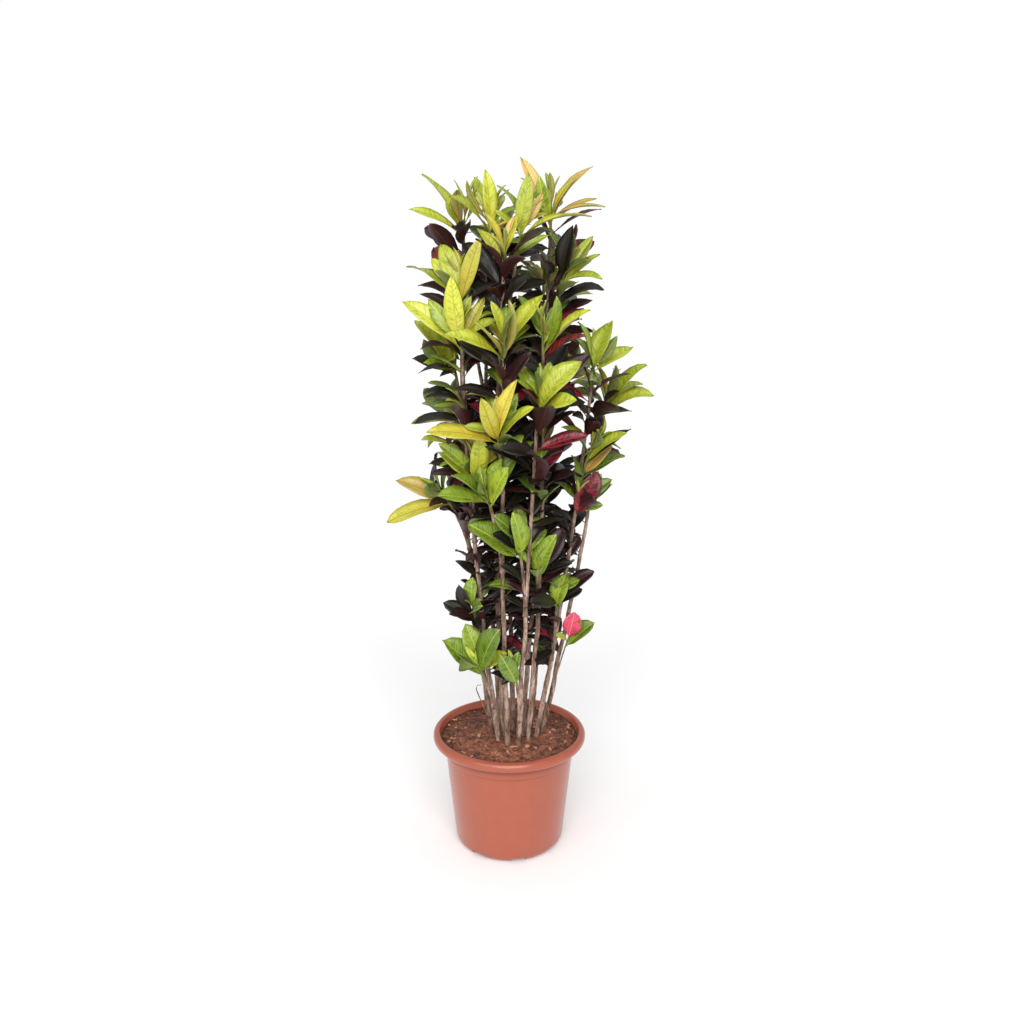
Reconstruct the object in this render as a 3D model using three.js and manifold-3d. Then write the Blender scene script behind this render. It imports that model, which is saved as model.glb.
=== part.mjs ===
// A tall potted croton: a round nursery pot with a rolled rim, the potting soil that fills it, a group of
// woody cuttings planted together, and leafy shoots at the ends of their branches.
// Millimetres, +Z up. The origin is the centre of the pot's foot, on the surface it stands on, and -Y is
// the front.
import * as THREE from "three";
import { mergeVertices } from "three/addons/utils/BufferGeometryUtils.js";
import Module from "manifold-3d";

const wasm = await Module();
wasm.setup();

// ---- Driving dimensions ----
const POT_HEIGHT = 345;
const RIM_RADIUS = 225;
const RIM_HEIGHT = 29;
const RIM_INNER_RADIUS = 207;
const COLLAR_RADIUS = 193;
const COLLAR_DEPTH = 34;
const COLLAR_STEP = 5;
const BASE_RADIUS = 159;
const BASE_FILLET = 23;
const POT_WALL = 4;
const POT_FLOOR = 9;
const POT_SIDES = 36;
const DRAIN_COUNT = 8;
const DRAIN_WIDTH = 38;
const DRAIN_HEIGHT = 5;
const FIRST_DRAIN = THREE.MathUtils.degToRad(6);
const SOIL_TOP = 318;
const SOIL_GAP = 0.4;
const SOIL_LUMPS = 5;
const ROOTING_DEPTH = 60;
const HOLE_PLAY = 2.5;
const JOINT_GAP = 0.3;
const LEADER_SIDES = 6;
const BRANCH_SIDES = 5;
const SHOOT_SIDES = 5;
const LEADER_FOOT_RADIUS = 8.8;
const BRANCH_FOOT_RADIUS = 5.8;
const SHOOT_RADIUS = 4.2;
const BUNDLE_CENTRE = [18, -10];
const FOOT_LEAN = 0.005;
const TIP_RADIUS = 2.6;
const TIP_LENGTH = 62;
const LIMB_STEP = 240;
const LONGEST_LEAF = 195;
const LEAF_WIDTH_SHARE = 0.37;
const LEAF_THICKNESS = 1.4;
const STALK_THICKNESS = 3.4;
const LEAF_CLEARANCE = 0.5;
const GOLDEN_ANGLE = THREE.MathUtils.degToRad(137.508);

// ---- Plant layout ----
// Each cutting stands at a foot in the soil. Its first shoot is the leader, and the others branch off it at a
// share of its length. heart is where a shoot's leaves meet, old the length of darker shoot below the tip, and
// aims are the tips of the leaves that give the plant its outline. The other leaves follow a rule.
const CUTTINGS = [
  { foot: [-38, -2], shoots: [
    { name: "crown_left", heart: [-115, -30, 1785], old: 190, leaves: 9,
      aims: [[-225, -40, 1900], [-255, -60, 1805], [-170, -110, 1785]] },
    { name: "left_upper", at: 0.66, heart: [-150, -45, 1425], leaves: 8,
      aims: [[-265, -60, 1530], [-255, -70, 1430], [-215, -110, 1430]] },
    { name: "left_lower", at: 0.42, heart: [-185, -50, 1070], leaves: 8,
      aims: [[-310, -60, 1110], [-335, -60, 985], [-215, -110, 1040]] },
    { name: "left_foot", at: 0.2, heart: [-100, -60, 735], leaves: 6,
      aims: [[-185, -60, 755], [-155, -90, 795], [-160, -110, 725]] },
  ] },
  { foot: [-22, -36], shoots: [
    { name: "shoulder_left", heart: [-125, -100, 1620], old: 200, leaves: 8,
      aims: [[-70, -130, 1730], [-265, -60, 1665], [-180, -60, 1715]] },
    { name: "front_left_high", at: 0.76, heart: [-120, -165, 1500], leaves: 8,
      aims: [[-280, -150, 1585], [-140, -210, 1635], [-80, -200, 1605]] },
    { name: "front_left_middle", at: 0.5, heart: [-90, -160, 1155], leaves: 8,
      aims: [[-145, -210, 1260], [-185, -150, 1195], [-210, -120, 1135]] },
    { name: "front_left_foot", at: 0.13, heart: [-85, -110, 585], leaves: 6,
      aims: [[-180, -130, 670], [-135, -110, 705], [-40, -150, 720], [-25, -180, 635]] },
  ] },
  { foot: [0, -54], shoots: [
    { name: "front_high", heart: [-10, -190, 1480], old: 180, leaves: 9,
      aims: [[-160, -240, 1495], [-85, -270, 1525], [0, -270, 1575], [55, -230, 1630]] },
    { name: "front_middle", at: 0.68, heart: [-30, -205, 1265], leaves: 9,
      aims: [[30, -270, 1420], [-225, -230, 1250], [-80, -250, 1340], [0, -285, 1360]] },
    { name: "front_low", at: 0.5, heart: [-60, -190, 1100], leaves: 8,
      aims: [[0, -250, 1170], [-135, -250, 1160], [-185, -210, 1090], [30, -230, 1195]] },
  ] },
  { foot: [24, -60], shoots: [
    { name: "front_right_middle", heart: [75, -200, 1340], old: 210, leaves: 8,
      aims: [[180, -230, 1430], [165, -280, 1340], [30, -260, 1395], [122, -215, 1460]] },
    { name: "front_right_low", at: 0.45, heart: [25, -175, 960], leaves: 7,
      aims: [[-105, -190, 1010], [10, -230, 1050], [90, -210, 1050]] },
    { name: "front_foot", at: 0.14, heart: [15, -122, 580], leaves: 5, reach: 85,
      aims: [[-25, -160, 640], [50, -160, 640], [15, -180, 540]] },
  ] },
  { foot: [47, -42], shoots: [
    { name: "front_right_high", heart: [85, -170, 1500], old: 190, leaves: 8,
      aims: [[200, -200, 1555], [115, -230, 1585], [230, -120, 1560]] },
    { name: "right_low_front", at: 0.4, heart: [72, -145, 890], leaves: 7,
      aims: [[5, -210, 950], [145, -200, 970], [170, -130, 890]] },
  ] },
  { foot: [66, -16], shoots: [
    { name: "right_upper", heart: [225, -60, 1425], old: 180, leaves: 8,
      aims: [[175, -150, 1525], [240, -60, 1530], [285, -50, 1525], [330, -40, 1460]] },
    { name: "right_middle", at: 0.68, heart: [220, -75, 1195], leaves: 8,
      aims: [[310, -80, 1275], [310, -110, 1240]] },
    { name: "right_lower", at: 0.52, heart: [185, -90, 1060], leaves: 8,
      aims: [[265, -100, 1125], [280, -70, 1095], [255, -60, 1045]] },
    { name: "right_foot", at: 0.27, heart: [135, -75, 790], leaves: 6,
      aims: [[185, -80, 855], [205, -60, 795]] },
  ] },
  { foot: [80, 8], shoots: [
    { name: "right_far", heart: [265, 15, 1325], leaves: 9,
      aims: [[365, 0, 1425], [405, -20, 1360], [340, -30, 1315]] },
    { name: "right_twig", at: 0.17, heart: [176, -20, 653], leaves: 4, reach: 85, girth: 0.5,
      aims: [[238, -22, 694], [126, -45, 652], [212, -12, 728]] },
  ] },
  { foot: [-10, -12], shoots: [
    { name: "centre_collar", heart: [-10, -130, 1690], old: 200, leaves: 8,
      aims: [[-80, -200, 1720], [90, -210, 1740], [-5, -240, 1740]] },
    { name: "crown_centre", at: 0.72, heart: [35, -85, 1770], leaves: 8,
      aims: [[50, -110, 1885], [215, -150, 1780], [90, -160, 1815]] },
  ] },
  { foot: [35, -14], shoots: [
    { name: "crown_right", heart: [110, -20, 1815], old: 230, leaves: 10,
      aims: [[25, -20, 1945], [195, 0, 1945], [95, -60, 1900],
        [215, -10, 1885], [230, 10, 1840], [265, -10, 1780]] },
    { name: "shoulder_right", at: 0.76, heart: [150, -65, 1665], leaves: 8,
      aims: [[235, -60, 1695], [235, -130, 1630], [160, -120, 1760]] },
  ] },
  { foot: [-16, 18], shoots: [
    { name: "crown_middle", heart: [-50, -50, 1790], old: 220, leaves: 9,
      aims: [[-60, -70, 1900], [-5, -20, 1900], [-145, -150, 1825], [-10, -160, 1840]] },
    { name: "back_left_upper", at: 0.66, heart: [-125, 130, 1560], leaves: 9, aims: [] },
    { name: "back_left", at: 0.5, heart: [-165, 110, 1270], leaves: 10, aims: [] },
  ] },
  { foot: [13, 22], shoots: [
    { name: "back_crown", heart: [-20, 110, 1745], old: 230, leaves: 9, aims: [] },
    { name: "back_upper", at: 0.62, heart: [15, 205, 1430], leaves: 9, aims: [] },
    { name: "back_low", at: 0.42, heart: [-75, 170, 1030], leaves: 9, aims: [] },
  ] },
  { foot: [56, 30], shoots: [
    { name: "back_right_upper", heart: [95, 125, 1630], old: 230, leaves: 9, aims: [] },
    { name: "back_right", at: 0.66, heart: [175, 150, 1370], leaves: 9, aims: [] },
    { name: "back_right_low", at: 0.45, heart: [85, 185, 1130], leaves: 9, aims: [] },
  ] },
];
const OLD_SHOOT_LEAVES = 12;
const YOUNG_REACH = 140;
const OLD_REACH = 145;

// ---- Colours ----
const finish = (color, roughness) => new THREE.MeshStandardMaterial({ color, roughness, metalness: 0 });
const TERRACOTTA_PLASTIC = finish(0xc26a4e, 0.45);
const POTTING_SOIL = finish(0x6b3f2a, 0.95);
const BARK = finish(0x8a7058, 0.85);
const YOUNG_LEAF = finish(0xa8b83a, 0.4);
const OLD_LEAF = finish(0x3a1620, 0.35);

// ---- Small helpers ----
const vec = (x, y, z) => new THREE.Vector3(x, y, z);

// A repeatable number from 0 to 1 for any seed.
function draw(seed) {
  const s = Math.sin(seed * 12.9898) * 43758.5453;
  return s - Math.floor(s);
}

// A closed geometry as a solid, with its faces turned outwards.
function solidOf(geometry) {
  const bare = geometry.clone();
  bare.deleteAttribute("normal");
  bare.deleteAttribute("uv");
  const merged = mergeVertices(bare, 1e-4);
  return new wasm.Manifold(new wasm.Mesh({
    numProp: 3,
    vertProperties: new Float32Array(merged.attributes.position.array),
    triVerts: new Uint32Array(merged.index.array),
  }));
}

function geometryOf(solid) {
  const mesh = solid.getMesh();
  return new THREE.BufferGeometry()
    .setAttribute("position", new THREE.BufferAttribute(mesh.vertProperties, 3))
    .setIndex(new THREE.BufferAttribute(mesh.triVerts, 1));
}

function boxesNear(a, b, gap) {
  return [0, 1, 2].every((i) => a.min[i] - gap < b.max[i] && b.min[i] - gap < a.max[i]);
}

// Rings of points, skinned one to the next and closed at both ends. A ring of one point is an apex.
function skin(rings) {
  const points = rings.flat();
  const firsts = rings.map((_, i) => rings.slice(0, i).reduce((n, ring) => n + ring.length, 0));
  const faces = [];
  for (let i = 0; i + 1 < rings.length; i++) {
    const [near, far] = [rings[i].length, rings[i + 1].length];
    const sides = Math.max(near, far);
    for (let k = 0; k < sides; k++) {
      const next = (k + 1) % sides;
      const [a, b] = [firsts[i] + (k % near), firsts[i] + (next % near)];
      const [c, d] = [firsts[i + 1] + (k % far), firsts[i + 1] + (next % far)];
      if (near > 1) faces.push(a, b, far > 1 ? d : c);
      if (far > 1) faces.push(a, d, c);
    }
  }
  const fan = (first, count, forwards) => {
    for (let k = 1; k + 1 < count; k++)
      faces.push(first, ...(forwards ? [first + k, first + k + 1] : [first + k + 1, first + k]));
  };
  fan(0, rings[0].length, false);
  fan(firsts.at(-1), rings.at(-1).length, true);
  return new THREE.BufferGeometry()
    .setAttribute("position", new THREE.Float32BufferAttribute(points.flatMap((p) => p.toArray()), 3))
    .setIndex(faces);
}

// ---- Pot ----
// Under the collar the wall steps in. Its inner face turns outwards there, up to the rim.
const SHOULDER_HEIGHT = POT_HEIGHT - RIM_HEIGHT - COLLAR_DEPTH - 4;
const SHOULDER_RADIUS = COLLAR_RADIUS - COLLAR_STEP - POT_WALL;
function makePot() {
  const foot = POT_HEIGHT - RIM_HEIGHT;
  const outside = new THREE.Path();
  outside.moveTo(0, 0);
  outside.lineTo(BASE_RADIUS - BASE_FILLET, 0);
  outside.quadraticCurveTo(BASE_RADIUS - 2, 0, BASE_RADIUS, BASE_FILLET);
  outside.lineTo(COLLAR_RADIUS - COLLAR_STEP, SHOULDER_HEIGHT);
  outside.lineTo(COLLAR_RADIUS, foot - COLLAR_DEPTH);
  outside.lineTo(COLLAR_RADIUS + 1, foot);
  outside.bezierCurveTo(RIM_RADIUS + 4, foot, RIM_RADIUS + 6, POT_HEIGHT, RIM_INNER_RADIUS + 6, POT_HEIGHT);
  outside.lineTo(RIM_INNER_RADIUS, POT_HEIGHT - 4);
  outside.lineTo(SHOULDER_RADIUS, SHOULDER_HEIGHT);
  outside.lineTo(BASE_RADIUS - POT_WALL, BASE_FILLET);
  outside.lineTo(BASE_RADIUS - 2 * POT_WALL, POT_FLOOR);
  outside.lineTo(0, POT_FLOOR);
  let pot = solidOf(new THREE.LatheGeometry(outside.getPoints(3), POT_SIDES).rotateX(Math.PI / 2));
  for (let i = 0; i < DRAIN_COUNT; i++) {
    const turn = (i * 2 * Math.PI) / DRAIN_COUNT + FIRST_DRAIN;
    const channel = new THREE.BoxGeometry(80, DRAIN_WIDTH, 2 * DRAIN_HEIGHT);
    channel.translate(BASE_RADIUS, 0, 0);
    channel.rotateZ(turn);
    pot = pot.subtract(solidOf(channel));
  }
  return pot;
}

// ---- Soil ----
// The radius of the pot's inner wall at a height above its floor.
function innerRadius(z) {
  const above = (z - SHOULDER_HEIGHT) / (POT_HEIGHT - 4 - SHOULDER_HEIGHT);
  const below = (z - BASE_FILLET) / (SHOULDER_HEIGHT - BASE_FILLET);
  if (z > SHOULDER_HEIGHT) return THREE.MathUtils.lerp(SHOULDER_RADIUS, RIM_INNER_RADIUS, above);
  return THREE.MathUtils.lerp(BASE_RADIUS - POT_WALL, SHOULDER_RADIUS, below);
}

function makeSoil(holes) {
  const rings = [];
  const ring = (radius, height) => {
    const points = [];
    for (let k = 0; k < POT_SIDES; k++) {
      const turn = (k * 2 * Math.PI) / POT_SIDES;
      points.push(vec(radius * Math.cos(turn), radius * Math.sin(turn), height(k)));
    }
    rings.push(points);
  };
  const edge = SOIL_TOP - 6;
  const level = (z) => () => z;
  ring(BASE_RADIUS - 2 * POT_WALL - 2, level(POT_FLOOR + SOIL_GAP));
  ring(innerRadius(BASE_FILLET) - 2, level(BASE_FILLET));
  ring(SHOULDER_RADIUS - 1, level(SHOULDER_HEIGHT));
  ring(innerRadius(edge) - 1, level(edge));
  const lump = (k) => SOIL_TOP + SOIL_LUMPS * (draw(100 + k) - 0.5);
  ring(innerRadius(edge) * 0.78, lump);
  rings.push([vec(0, 0, SOIL_TOP)]);
  return holes.reduce((soil, hole) => soil.subtract(hole), solidOf(skin(rings)));
}

// ---- Limbs ----
// A limb's centre line. It leaves halfway between the direction of what carries it and the way to its heart.
function centreLine(start, direction, heart) {
  const way = heart.clone().sub(start);
  const leaving = way.clone().normalize().add(direction).normalize();
  const bend = start.clone().addScaledVector(leaving, way.length() / 2);
  return new THREE.QuadraticBezierCurve3(start, bend, heart);
}

// A cutting leans away from the middle of the bundle where it leaves the soil.
function leanAt(foot) {
  const [x, y] = BUNDLE_CENTRE;
  return vec(FOOT_LEAN * (foot.x - x), FOOT_LEAN * (foot.y - y), 1).normalize();
}

// A tapering round length of a limb between two shares of its centre line.
function limb(line, from, to, radiusFrom, radiusTo, sides) {
  const length = line.getLength() * (to - from);
  const steps = Math.max(1, Math.round(length / LIMB_STEP));
  const rings = [];
  for (let i = 0; i <= steps; i++) {
    const share = i / steps;
    const t = from + (to - from) * share;
    const along = line.getTangent(t);
    const side = vec(0, 1, 0).cross(along).normalize();
    const other = along.clone().cross(side);
    const radius = THREE.MathUtils.lerp(radiusFrom, radiusTo, share);
    const centre = line.getPoint(t);
    const ring = [];
    for (let k = 0; k < sides; k++) {
      const turn = (k * 2 * Math.PI) / sides;
      ring.push(centre.clone()
        .addScaledVector(side, radius * Math.cos(turn))
        .addScaledVector(other, radius * Math.sin(turn)));
    }
    rings.push(ring);
  }
  return solidOf(skin(rings));
}

// ---- Leaves ----
// A leaf's midrib is an arc over the chord from root to tip. Its blade is folded up a little along it.
function leafRings(root, tip, { facing, arch, fold, isOld }) {
  const chord = tip.clone().sub(root);
  const reach = chord.length();
  chord.normalize();
  const normal = facing.clone().addScaledVector(chord, -facing.dot(chord)).normalize();
  const side = chord.clone().cross(normal);
  const radius = reach / (2 * Math.sin(arch / 2));
  const station = (share, halfWidth, thick) => {
    const angle = arch * (share - 0.5);
    const rib = root.clone()
      .addScaledVector(chord, reach / 2 + radius * Math.sin(angle))
      .addScaledVector(normal, radius * (Math.cos(angle) - Math.cos(arch / 2)));
    const lift = normal.clone().multiplyScalar(Math.cos(angle)).addScaledVector(chord, Math.sin(angle));
    const edge = (sign) => rib.clone()
      .addScaledVector(side, sign * halfWidth * Math.cos(fold))
      .addScaledVector(lift, halfWidth * Math.sin(fold));
    return [
      edge(-1),
      rib.clone().addScaledVector(lift, thick / 2),
      edge(1),
      rib.clone().addScaledVector(lift, -thick / 2),
    ];
  };
  const half = (reach * LEAF_WIDTH_SHARE) / 2;
  const blade = isOld ? [[0.52, 1]] : [[0.42, 0.93], [0.74, 0.8]];
  return [
    [root],
    station(0.13, Math.max(2.4, 0.12 * half), STALK_THICKNESS),
    ...blade.map(([share, width]) => station(share, width * half, LEAF_THICKNESS)),
    [tip],
  ];
}

// The postures a leaf may take: it turns about its shoot, then lifts or sinks, and shrinks a little.
const POSTURES = 28;
function posture(attempt) {
  const ring = Math.ceil(attempt / 2);
  return {
    turn: (attempt % 2 ? 1 : -1) * ring * THREE.MathUtils.degToRad(6.5),
    lift: THREE.MathUtils.degToRad([0, 9, -9, 18, -18][attempt % 5] * (attempt > 4 ? 1.3 : 0.5)),
    size: 1 - 0.014 * attempt,
  };
}

// The leaves of one shoot, from the oldest and lowest to the youngest: where each is rooted, and where its
// tip goes.
function leafPlans(shoot, line, from, to, count, reach, isOld, aims) {
  const plans = [];
  const seed = shoot.heart[0] * 3 + shoot.heart[2] * 7 + (isOld ? 5000 : 0);
  for (let i = 0; i < count; i++) {
    const age = 1 - i / Math.max(1, count - 1);
    const t = from + (to - from) * (0.1 + 0.85 * (1 - age));
    const along = line.getTangent(t);
    const east = vec(0, 1, 0).cross(along).normalize();
    const north = along.clone().cross(east);
    const base = line.getPoint(t);
    const own = (k) => draw(seed + i * 17 + k);
    const facing = along.clone().multiplyScalar(0.75)
      .add(vec(base.x, base.y, 0).normalize().multiplyScalar(0.55))
      .addScaledVector(east, 0.5 * (own(4) - 0.5));
    const plan = { base, along, facing, isOld, arch: 0.4 + 0.7 * own(3), fold: 0.16 + 0.22 * own(5) };
    if (i < aims.length) {
      const chord = vec(...aims[i]).sub(base);
      plan.reach = Math.min(chord.length(), LONGEST_LEAF);
      plan.chord = chord.normalize();
      plan.facing = vec(0.7 * (own(4) - 0.5), -0.5, 0.35).addScaledVector(along, 0.6);
    } else {
      const azimuth = i * GOLDEN_ANGLE + 6.28 * draw(seed);
      const rise = THREE.MathUtils.degToRad(isOld ? 12 + 36 * own(1) : 66 - 54 * age + 16 * (own(1) - 0.5));
      plan.chord = east.clone().multiplyScalar(Math.cos(rise) * Math.cos(azimuth))
        .addScaledVector(north, Math.cos(rise) * Math.sin(azimuth))
        .addScaledVector(along, Math.sin(rise));
      plan.reach = reach * (isOld ? 0.85 + 0.3 * own(2) : 0.68 + 0.27 * age + 0.2 * own(2));
    }
    plans.push(plan);
  }
  return plans;
}

function tipAt(plan, attempt) {
  const { turn, lift, size } = posture(attempt);
  const chord = plan.chord.clone().applyAxisAngle(plan.along, turn);
  const level = chord.clone().cross(plan.along).normalize();
  chord.applyAxisAngle(level, lift);
  return plan.base.clone().addScaledVector(chord, plan.reach * size);
}

// Everything placed so far, so that a new leaf can be bent clear of it.
const placed = [];
function place(node, solid, blade) {
  placed.push({ node, solid, blade, box: solid.boundingBox() });
}

function isClear(node, solid, blade) {
  const box = solid.boundingBox();
  return placed.every((other) => {
    if (!boxesNear(box, other.box, LEAF_CLEARANCE)) return true;
    const [mine, theirs] = other.node === node ? [blade, other.blade] : [solid, other.solid];
    return mine.minGap(theirs, 2 * LEAF_CLEARANCE) > LEAF_CLEARANCE;
  });
}

// Takes the first clear posture of a leaf. A leaf with no clear posture is one the plant has shed.
function growLeaf(node, plan) {
  const sunk = plan.base.clone();
  for (let attempt = 0; attempt < POSTURES; attempt++) {
    const tip = tipAt(plan, attempt);
    const inwards = sunk.clone().sub(tip).normalize();
    const root = sunk.clone().addScaledVector(inwards, 0.5 * TIP_RADIUS);
    const rings = leafRings(root, tip, plan);
    const solid = solidOf(skin(rings));
    const blade = solidOf(skin(rings.slice(1)));
    if (isClear(node, solid, blade)) {
      place(node, solid, blade);
      return solid;
    }
  }
  return null;
}

// ---- Planting ----
const plant = new THREE.Group();
function addNode(name, solid, material) {
  const mesh = new THREE.Mesh(geometryOf(solid), material);
  mesh.name = name;
  plant.add(mesh);
}

const holes = [];
const shootsToDress = [];
CUTTINGS.forEach(({ foot, shoots }, index) => {
  const wood = [];
  let leader = null;
  for (const shoot of shoots) {
    const heart = vec(...shoot.heart);
    const start = leader ? leader.getPoint(shoot.at) : vec(...foot, SOIL_TOP - ROOTING_DEPTH);
    const line = centreLine(start, leader ? leader.getTangent(shoot.at) : leanAt(start), heart);
    const length = line.getLength();
    const tipFrom = 1 - Math.min(TIP_LENGTH, 0.4 * length) / length;
    const oldFrom = tipFrom - (shoot.old ?? 0) / length;
    const woodTop = oldFrom - JOINT_GAP / length;
    const girth = shoot.girth ?? 1;
    if (leader) {
      wood.push(limb(line, 0, woodTop, girth * BRANCH_FOOT_RADIUS, girth * SHOOT_RADIUS, BRANCH_SIDES));
    } else {
      wood.push(limb(line, JOINT_GAP / length, woodTop, LEADER_FOOT_RADIUS, SHOOT_RADIUS, LEADER_SIDES));
      const hole = LEADER_FOOT_RADIUS + HOLE_PLAY;
      holes.push(limb(line, 0, (ROOTING_DEPTH + 30) / length, hole, hole, LEADER_SIDES));
      leader = line;
    }
    const tip = { shoot, line, from: tipFrom, to: 1, isOld: false, node: "shoot_" + shoot.name };
    tip.limb = limb(line, tipFrom, 1, girth * SHOOT_RADIUS, girth * TIP_RADIUS, SHOOT_SIDES);
    shootsToDress.push(tip);
    if (shoot.old) {
      const to = tipFrom - JOINT_GAP / length;
      const old = { shoot, line, from: oldFrom, to, isOld: true, node: "old_shoot_" + shoot.name };
      old.limb = limb(line, oldFrom, to, SHOOT_RADIUS, SHOOT_RADIUS, SHOOT_SIDES);
      shootsToDress.push(old);
    }
  }
  const name = "cutting_" + String(index + 1).padStart(2, "0");
  const stem = wood.reduce((whole, piece) => whole.add(piece));
  place(name, stem, stem);
  addNode(name, stem, BARK);
});

for (const part of shootsToDress) {
  place(part.node, part.limb, part.limb);
  const { shoot, line, from, to, isOld } = part;
  const count = isOld ? OLD_SHOOT_LEAVES : shoot.leaves;
  const reach = isOld ? OLD_REACH : shoot.reach ?? YOUNG_REACH;
  part.plans = leafPlans(shoot, line, from, to, count, reach, isOld, isOld ? [] : shoot.aims);
  part.grown = [];
}

// The leaves of the outline grow first, then the young ones behind them, and the old ones take the room left.
const grow = (part, plans) => {
  const leaves = plans.map((plan) => growLeaf(part.node, plan));
  part.grown.push(...leaves.filter(Boolean));
};
const young = shootsToDress.filter((part) => !part.isOld);
young.forEach((part) => grow(part, part.plans.slice(0, part.shoot.aims.length)));
young.forEach((part) => grow(part, part.plans.slice(part.shoot.aims.length)));
shootsToDress.filter((part) => part.isOld).forEach((part) => grow(part, part.plans));

for (const { node, limb: axis, grown, isOld } of shootsToDress)
  addNode(node, grown.reduce((whole, leaf) => whole.add(leaf), axis), isOld ? OLD_LEAF : YOUNG_LEAF);

addNode("pot", makePot(), TERRACOTTA_PLASTIC);
addNode("soil", makeSoil(holes), POTTING_SOIL);

export default plant;
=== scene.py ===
# %% [markdown]
# # A tall potted croton
# This lesson dresses the CAD frame of a potted croton: a terracotta-coloured nursery pot, potting soil, a
# bundle of woody cuttings planted together, and several hundred leathery leaves, lime at the shoot tips and
# burgundy to nearly black below. The frame gives every piece its place.

# %% Load the frame
import math

import bmesh
import bpy
from mathutils import Matrix, Vector, kdtree, noise


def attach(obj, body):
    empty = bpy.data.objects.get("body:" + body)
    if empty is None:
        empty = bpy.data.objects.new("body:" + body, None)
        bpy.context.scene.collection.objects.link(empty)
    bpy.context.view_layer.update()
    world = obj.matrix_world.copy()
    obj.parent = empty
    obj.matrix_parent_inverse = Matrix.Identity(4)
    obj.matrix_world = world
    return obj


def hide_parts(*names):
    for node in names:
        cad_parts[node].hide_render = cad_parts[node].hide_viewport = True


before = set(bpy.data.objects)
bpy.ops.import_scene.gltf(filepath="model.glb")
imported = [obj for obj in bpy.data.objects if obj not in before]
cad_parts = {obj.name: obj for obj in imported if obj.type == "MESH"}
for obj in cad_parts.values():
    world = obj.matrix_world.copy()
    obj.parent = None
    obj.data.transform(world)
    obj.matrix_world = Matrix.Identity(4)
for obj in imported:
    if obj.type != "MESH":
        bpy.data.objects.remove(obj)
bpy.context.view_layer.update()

MM = 0.001
# without a seed, the noise that dents the bark chips would start from the clock
noise.seed_set(1)

# %% [markdown]
# ## Small helpers
# Plants need variety, but a scene must come out the same each time it runs. `draw` turns any number into a
# repeatable one from 0 to 1. Colours are written as sRGB hex, as a colour picker shows them, and one
# function turns them into the linear values that Blender's shaders work in.

# %% Repeatable variety and colours
def draw(seed):
    """A number from 0 to 1 that is always the same for one seed."""
    s = math.sin(seed * 12.9898) * 43758.5453
    return s - math.floor(s)


def mix(low, high, share):
    """The value that lies a share of the way from low to high."""
    return low + (high - low) * share


def linear(hex_colour):
    """The linear value of an sRGB colour such as #a4533a."""
    channels = [int(hex_colour[i:i + 2], 16) / 255 for i in (1, 3, 5)]
    return (*[c / 12.92 if c <= 0.04045 else ((c + 0.055) / 1.055) ** 2.4 for c in channels], 1.0)


# %% Node and object helpers
def feed(node, inputs):
    """Gives a node's inputs, by name or number, their values, or links them to a socket or a node."""
    for socket, value in inputs:
        named = [s for s in node.inputs if s.enabled and s.name == socket]
        target = named[0] if named else node.inputs[socket]
        if isinstance(value, bpy.types.Node):
            value = next(s for s in value.outputs if s.enabled)
        if isinstance(value, bpy.types.NodeSocket):
            node.id_data.links.new(value, target)
        else:
            target.default_value = value


def add_node(tree, kind, inputs=(), **settings):
    node = tree.nodes.new("ShaderNode" + kind)
    for name, value in settings.items():
        setattr(node, name, value)
    feed(node, inputs)
    return node


def calculate(tree, operation, *values):
    return add_node(tree, "Math", enumerate(values), operation=operation)


def remap(tree, value, low, high, start=0.0, end=1.0, curve="LINEAR"):
    """Turns the values from low to high into start to end."""
    return add_node(tree, "MapRange", [("Value", value), ("From Min", low), ("From Max", high),
                                       ("To Min", start), ("To Max", end)], interpolation_type=curve)


def blend(tree, factor, below, above, how="MIX"):
    return add_node(tree, "Mix", [("Factor", factor), ("A", below), ("B", above)], data_type="RGBA",
                    blend_type=how)


def add_noise(tree, place, scale, detail, roughness=0.5):
    return add_node(tree, "TexNoise", [("Vector", place), ("Scale", scale), ("Detail", detail),
                                       ("Roughness", roughness)])


def add_bump(tree, height, strength, distance, **settings):
    return add_node(tree, "Bump", [("Height", height), ("Strength", strength), ("Distance", distance)],
                    **settings)


def add_ramp(tree, value, stops):
    """A ramp through stops of (position, colour)."""
    ramp = add_node(tree, "ValToRGB", [("Fac", value)])
    elements = ramp.color_ramp.elements
    elements[0].position, elements[0].color = stops[0]
    elements[1].position, elements[1].color = stops[-1]
    for position, colour in stops[1:-1]:
        elements.new(position).color = colour
    return ramp


def new_finish(name):
    finish = bpy.data.materials.new(name)
    finish.use_nodes = True
    print("finish:", name)
    return finish, finish.node_tree, finish.node_tree.nodes["Principled BSDF"]


def new_object(name, bm):
    mesh = bpy.data.meshes.new(name)
    bm.to_mesh(mesh)
    bm.free()
    made = bpy.data.objects.new(name, mesh)
    bpy.context.collection.objects.link(made)
    return made


def new_piece(name, bm, finishes, replaced=()):
    """Turns a bmesh into a piece that rides on the plant and stands for some CAD nodes."""
    piece = new_object(name, bm)
    for finish in finishes:
        piece.data.materials.append(finish)
    piece.data.shade_smooth()
    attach(piece, "root")
    if replaced:
        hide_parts(*replaced)
    return piece


# %% [markdown]
# ## Camera, floor and light
# The photograph is a studio cut-out: a white surround, soft even light, and a camera at the height of the
# upper leaves that looks down a little. Its lens and place were found by fitting the ellipses of the pot's
# rim and foot, so the render lines up with the photograph.

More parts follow.
